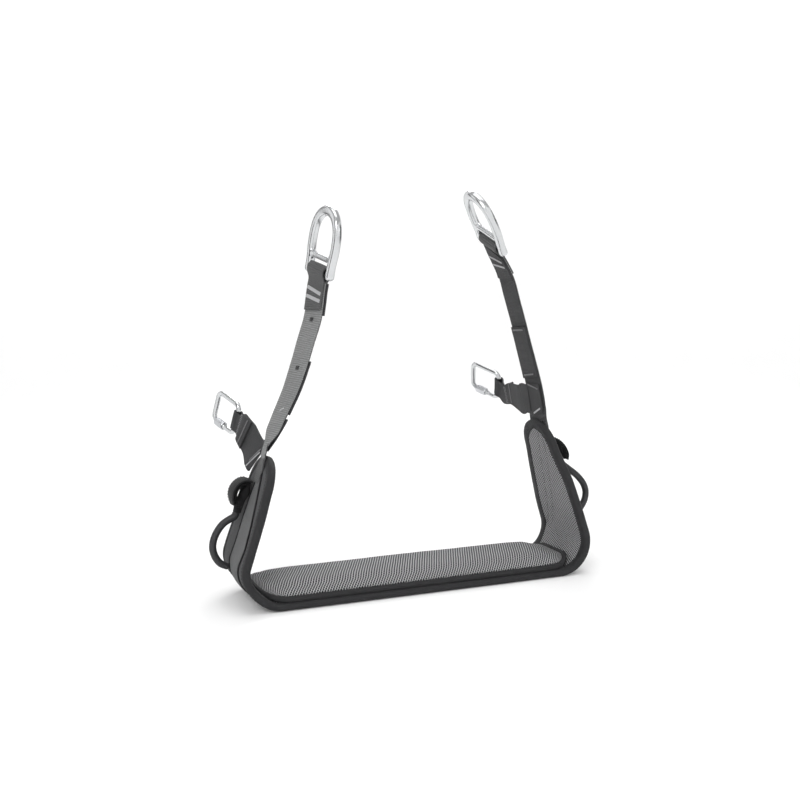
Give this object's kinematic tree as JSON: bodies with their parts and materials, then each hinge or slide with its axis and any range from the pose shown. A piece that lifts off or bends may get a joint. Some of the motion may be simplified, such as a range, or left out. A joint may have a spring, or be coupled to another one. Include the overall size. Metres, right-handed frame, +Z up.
{
  "type": "padded suspension work seat",
  "caption": "Padded U-shaped hanging work seat with crowned cushion, two folding wings, riser straps with forged rings, link straps with screw links and gear loops.",
  "frame": {"origin": "centre of the flat underside of the seat", "axes": "+X across the seat to the right, -Y towards the front edge, +Z up"},
  "size_m": [0.5305, 0.2598, 0.5009],
  "materials": {
    "cover": "woven polyamide, matt",
    "mesh": "knitted spacer mesh, matt",
    "trim": "grosgrain edge binding, matt",
    "webbing": "woven polyester webbing, slight sheen",
    "dark_webbing": "woven polyester webbing, matt",
    "plate": "plain sheet",
    "ring": "forged and polished",
    "steel": "bright plated",
    "tube": "moulded cover tube, satin"
  },
  "bodies": {
    "seat": {"base_cover": "cover", "seat_web": "webbing", "seat_plate": "plate", "base_pad": "mesh", "floor_binding_front": "trim", "floor_binding_back": "trim", "cushion_binding": "trim", "cushion_pad": "mesh"},
    "wing_left": {"wing_cover_left": "cover", "wing_pad_left": "mesh", "wing_binding_left": "trim", "wing_web_left": "webbing", "gear_loop_sleeve_left": "dark_webbing", "keeper_left": "dark_webbing"},
    "riser_left": {"riser_strap_left": "webbing", "riser_doubler_left": "webbing", "link_lap_left": "dark_webbing"},
    "ring_left": {"ring_left": "ring"},
    "link_strap_left": {"link_strap_left": "dark_webbing"},
    "quick_link_left": {"quick_link_left": "steel"},
    "link_nut_left": {"link_nut_left": "steel"},
    "gear_loop_left": {"gear_loop_left": "tube"},
    "wing_right": {"wing_cover_right": "cover", "wing_pad_right": "mesh", "wing_binding_right": "trim", "wing_web_right": "webbing", "gear_loop_sleeve_right": "dark_webbing", "keeper_right": "dark_webbing"},
    "riser_right": {"riser_strap_right": "webbing", "riser_doubler_right": "webbing", "link_lap_right": "dark_webbing"},
    "ring_right": {"ring_right": "ring"},
    "link_strap_right": {"link_strap_right": "dark_webbing"},
    "quick_link_right": {"quick_link_right": "steel"},
    "link_nut_right": {"link_nut_right": "steel"},
    "gear_loop_right": {"gear_loop_right": "tube"}
  },
  "joints": [
    {"name": "wing_fold_left", "type": "hinge", "parent": "seat", "child": "wing_left", "pos_m": [-0.21237, 0, 0.01135], "axis": [0, 1, 0], "range_deg": [-45, 12]},
    {"name": "riser_swing_left", "type": "hinge", "parent": "wing_left", "child": "riser_left", "pos_m": [-0.18986, 0.00006, 0.18388], "axis": [0, 1, 0], "range_deg": [-40, 60]},
    {"name": "ring_swing_left", "type": "hinge", "parent": "riser_left", "child": "ring_left", "pos_m": [-0.113, 0, 0.4036], "axis": [-0.169, 0.9582, 0.231], "range_deg": [-75, 75]},
    {"name": "link_strap_swing_left", "type": "hinge", "parent": "riser_left", "child": "link_strap_left", "pos_m": [-0.18118, 0.02628, 0.20436], "axis": [0.4572, -0.1305, 0.8798], "range_deg": [-60, 60]},
    {"name": "quick_link_swing_left", "type": "hinge", "parent": "link_strap_left", "child": "quick_link_left", "pos_m": [-0.1909, 0.1495, 0.2067], "axis": [0.1821, -0.3121, 0.9324], "range_deg": [-80, 80]},
    {"name": "link_nut_travel_left", "type": "slide", "parent": "quick_link_left", "child": "link_nut_left", "axis": [0.3622, -0.8603, -0.3587], "range_m": [0, 0.012]},
    {"name": "gear_loop_flex_left", "type": "hinge", "parent": "wing_left", "child": "gear_loop_left", "pos_m": [-0.2243, 0.01, 0.1083], "axis": [0.2008, 0, 0.9796], "range_deg": [-15, 15], "stiffness_Nm_per_rad": 0.3},
    {"name": "wing_fold_right", "type": "hinge", "parent": "seat", "child": "wing_right", "pos_m": [0.21237, 0, 0.01135], "axis": [0, 1, 0], "range_deg": [-12, 45]},
    {"name": "riser_swing_right", "type": "hinge", "parent": "wing_right", "child": "riser_right", "pos_m": [0.18673, 0.00097, 0.20826], "axis": [0, 1, 0], "range_deg": [-60, 40]},
    {"name": "ring_swing_right", "type": "hinge", "parent": "riser_right", "child": "ring_right", "pos_m": [0.1205, 0, 0.4375], "axis": [-0.1159, 0.9066, 0.4058], "range_deg": [-75, 75]},
    {"name": "link_strap_swing_right", "type": "hinge", "parent": "riser_right", "child": "link_strap_right", "pos_m": [0.18702, 0.02806, 0.22958], "axis": [-0.1421, -0.1369, 0.9803], "range_deg": [-60, 60]},
    {"name": "quick_link_swing_right", "type": "hinge", "parent": "link_strap_right", "child": "quick_link_right", "pos_m": [0.1978, 0.1386, 0.2357], "axis": [-0.1759, -0.4338, 0.8837], "range_deg": [-80, 80]},
    {"name": "link_nut_travel_right", "type": "slide", "parent": "quick_link_right", "child": "link_nut_right", "axis": [0.4398, -0.8377, -0.3237], "range_m": [0, 0.012]},
    {"name": "gear_loop_flex_right", "type": "hinge", "parent": "wing_right", "child": "gear_loop_right", "pos_m": [0.2293, 0.01, 0.1376], "axis": [-0.1575, 0, 0.9875], "range_deg": [-15, 15], "stiffness_Nm_per_rad": 0.3}
  ]
}
